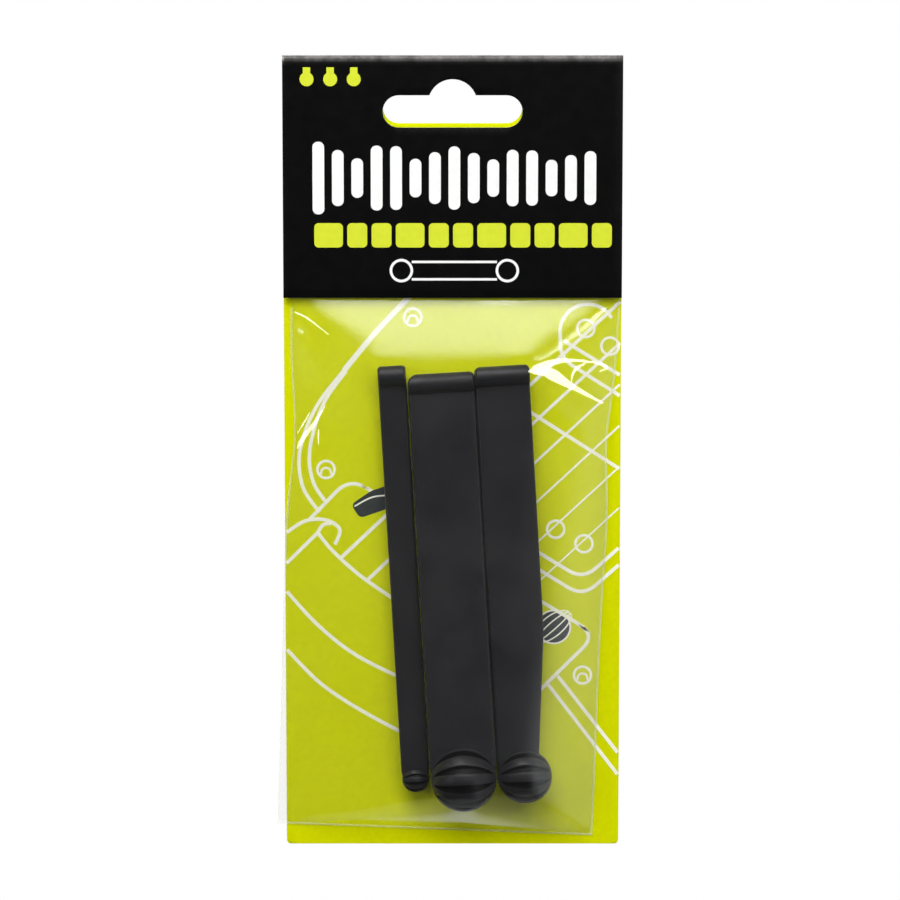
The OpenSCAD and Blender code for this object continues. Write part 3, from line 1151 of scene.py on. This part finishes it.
def make_bag(film):
    """Both films of the bag, each with its half of the tab. Gives back the front one."""
    xs, zs = bag_grid()
    rim = back_film_low.y - FILM_T - 0.03
    front_y = rim - film_height(xs, zs, rim)
    back_y = np.full_like(xs, back_film_low.y)
    front_rows, back_rows = ([list(zip(*row)) for row in zip(xs, ys, zs)] for ys in (front_y, back_y))
    front_tab = tab_rows(xs[0], zs[0, 0], tab_low.y + TAB_FRONT_INSET, rim)
    back_tab = tab_rows(xs[0], zs[0, 0], tab_high.y - TAB_BACK_INSET, back_film_low.y)
    front = film_mesh("bag_front", front_tab + front_rows, film, FILM_T)
    back = film_mesh("bag_back", back_tab + back_rows, film, FILM_T)
    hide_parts("bag_front_film", "bag_top_tab")
    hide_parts("bag_back_film")
    for piece in (front, back):
        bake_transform(piece)
    return front


# A seam's cross-section: distance inward from the bag's edge, and how far it is raised
SEAM_PROFILE = [(-0.06, 0.0), (0.03, 0.03), (0.2, 0.04), (0.36, 0.03), (0.42, 0.0)]
SEAM_OUT = 0.06
SEAM_T = 0.12
SEAM_STEPS = 90
SEAM_DROP = 2.3


def make_seams(film):
    """Welded side seams and the folded hem, as flat ribbons with a raised bead."""
    def seam(name, points, inward, node):
        rows = [[(x + inward[0] * t, back_film_low.y - SEAM_OUT - lift, z + inward[1] * t)
                 for t, lift in SEAM_PROFILE] for x, z in points]
        made = film_mesh(name, rows, film, SEAM_T)
        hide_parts(node)
        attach(made, "bag")

    left_foot, right_foot = weld_left_low.z, weld_right_low.z
    top = FLAP_BOTTOM - SEAM_DROP
    left_points = [(bag_sides(z)[0], z) for z in np.linspace(top, left_foot, SEAM_STEPS)]
    right_points = [(bag_sides(z)[1], z) for z in np.linspace(top, right_foot, SEAM_STEPS)]
    seam("seam_left", left_points, (1, 0), "bag_side_weld_left")
    seam("seam_right", right_points, (-1, 0), "bag_side_weld_right")
    a, b = left_points[-1], right_points[-1]
    hem = [(a[0] + (b[0] - a[0]) * t, a[1] + (b[1] - a[1]) * t)
           for t in np.linspace(0, 1, SEAM_STEPS)]
    seam("hem_fold", hem, (0, 1), "bag_bottom_fold")


# Sharp folds of the front film, each pinched to face one way: facing, points, widths, in millimetres
FACE_LEFT, FACE_RIGHT = Vector((-0.390, -0.908, 0.153)), Vector((0.202, -0.958, 0.204))
FOLD_OUT = 0.06
LIT_FOLDS = [
    (FACE_RIGHT, [(17.4, -59.5), (19.1, -58.6), (21.5, -57.7), (24.2, -57.1), (27.2, -56.9),
                  (30.7, -57.2), (34.0, -57.8), (35.5, -58.7), (33.9, -59.6)],
     [0.3, 1.4, 1.5, 1.1, 0.7, 0.5, 0.5, 0.6, 0.3]),
    (FACE_RIGHT, [(18.4, -59.7), (21.0, -59.4), (23.1, -60.2), (25.3, -61.6), (28.0, -63.2),
                  (31.3, -65.0), (34.8, -67.0)], [0.4, 1.9, 2.6, 2.0, 1.2, 0.8, 0.2]),
    (FACE_RIGHT, [(30.5, -57.6), (28.6, -58.7), (27.6, -60.1), (27.3, -62.0)], [0.3, 0.6, 0.5, 0.2]),
    (FACE_RIGHT, [(31.2, -168.2), (29.8, -167.3), (27.8, -166.1)], [0.4, 0.3, 0.1]),
    (FACE_RIGHT, [(23.1, -150.6), (23.4, -152.4), (22.8, -155.2)], [0.2, 0.9, 0.2]),
    (FACE_LEFT, [(-36.4, -46.0), (-35.0, -46.6), (-33.1, -47.6), (-31.2, -49.0), (-28.6, -51.0)],
     [0.25, 0.45, 0.45, 0.3, 0.12]),
    (FACE_LEFT, [(-29.3, -67.4), (-31.0, -70.1), (-32.4, -72.2), (-34.1, -74.4), (-35.4, -76.4),
                 (-36.0, -77.6)], [0.15, 0.5, 0.85, 0.95, 0.8, 0.2]),
    (FACE_LEFT, [(-32.9, -69.0), (-34.4, -71.5), (-35.9, -74.0)], [0.12, 0.4, 0.12]),
    (FACE_LEFT, [(-30.9, -72.8), (-31.0, -74.7), (-30.9, -76.6)], [0.12, 0.45, 0.12]),
]


def make_lit_folds(film, material):
    """Thin slivers that lie on the film, shaded as the pinched folds that they stand for."""
    mesh = film.data
    tree = BVHTree.FromPolygons([v.co for v in mesh.vertices], [p.vertices for p in mesh.polygons])
    vertices, faces, normals = [], [], []
    for facing, points, widths in LIT_FOLDS:
        path = curve(points, 8)
        share = np.linspace(0, len(widths) - 1, len(path))
        half = np.interp(share, np.arange(len(widths)), widths) / 2
        start = len(vertices)
        for i, (x, z) in enumerate(path):
            ahead, behind = path[min(i + 1, len(path) - 1)], path[max(i - 1, 0)]
            across = Vector((behind[1] - ahead[1], ahead[0] - behind[0])).normalized() * half[i]
            for side in (-1, 1):
                px, pz = x + side * across.x, z + side * across.y
                hit = tree.ray_cast(Vector((px, -60, pz)) * MM, Vector((0, 1, 0)))[0]
                vertices.append((px, hit.y / MM - FOLD_OUT, pz))
                normals.append(facing)
        faces += [(start + 2 * i, start + 2 * i + 1, start + 2 * i + 3, start + 2 * i + 2)
                  for i in range(len(path) - 1)]
    made = make_object("film_folds", vertices, faces, [material])
    made.data.normals_split_custom_set_from_vertices(normals)
    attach(made, "bag")


# ---------------------------------------------------------------- build

make_studio()
lime_board = printed_board("lime_board", (0.60, 0.64, 0.0005), roughness=0.36, specular=0.03)
# The black board's lighter fold band is rub marks with a painted sheen
black_board = printed_board("black_board", (0.0020, 0.0019, 0.0020), roughness=0.34, specular=0.13,
                            fold_rub_and_sheen=(0.26, 0.245, 0.235))
white_ink = ink("white_ink", (0.86, 0.86, 0.84))
lime_ink = ink("lime_ink", (0.62, 0.69, 0.02))
pale_ink = ink("pale_ink", (0.88, 0.87, 0.74))
grey_ink = ink("grey_ink", (0.022, 0.028, 0.030))
rubber = moulded_rubber("moulded_rubber", shade=1.0)
# Painted shade: a darker copy of the rubber that stands for the shadow inside the balls' grooves
shaded_groove_rubber = moulded_rubber("shaded_groove_rubber", shade=0.35)
film = clear_film("clear_film", least_haze=0.0004, most_haze=0.004)
welded_film = clear_film("welded_film", least_haze=0.11, most_haze=0.17, mirror=0.0, slant_mirror=0.0)
folded_film = clear_film("folded_film", least_haze=0.0, most_haze=0.004, mirror=0.075, rippled=0.025)

make_card(black_board, lime_board, paper_core())
make_header_print(white_ink, lime_ink)
make_artwork(pale_ink, grey_ink)
for dampener in STRIPS:
    make_dampener(dampener, rubber, shaded_groove_rubber)
make_lit_folds(make_bag(film), folded_film)
make_seams(welded_film)
glue = dried_glue()
for strip_node in ("glue_strip_front", "glue_strip_rear"):
    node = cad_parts[strip_node]
    node.data.materials.clear()
    node.data.materials.append(glue)
    rounding = node.modifiers.new("soft_edges", "BEVEL")
    rounding.width = 0.12 * MM
    rounding.segments = 3
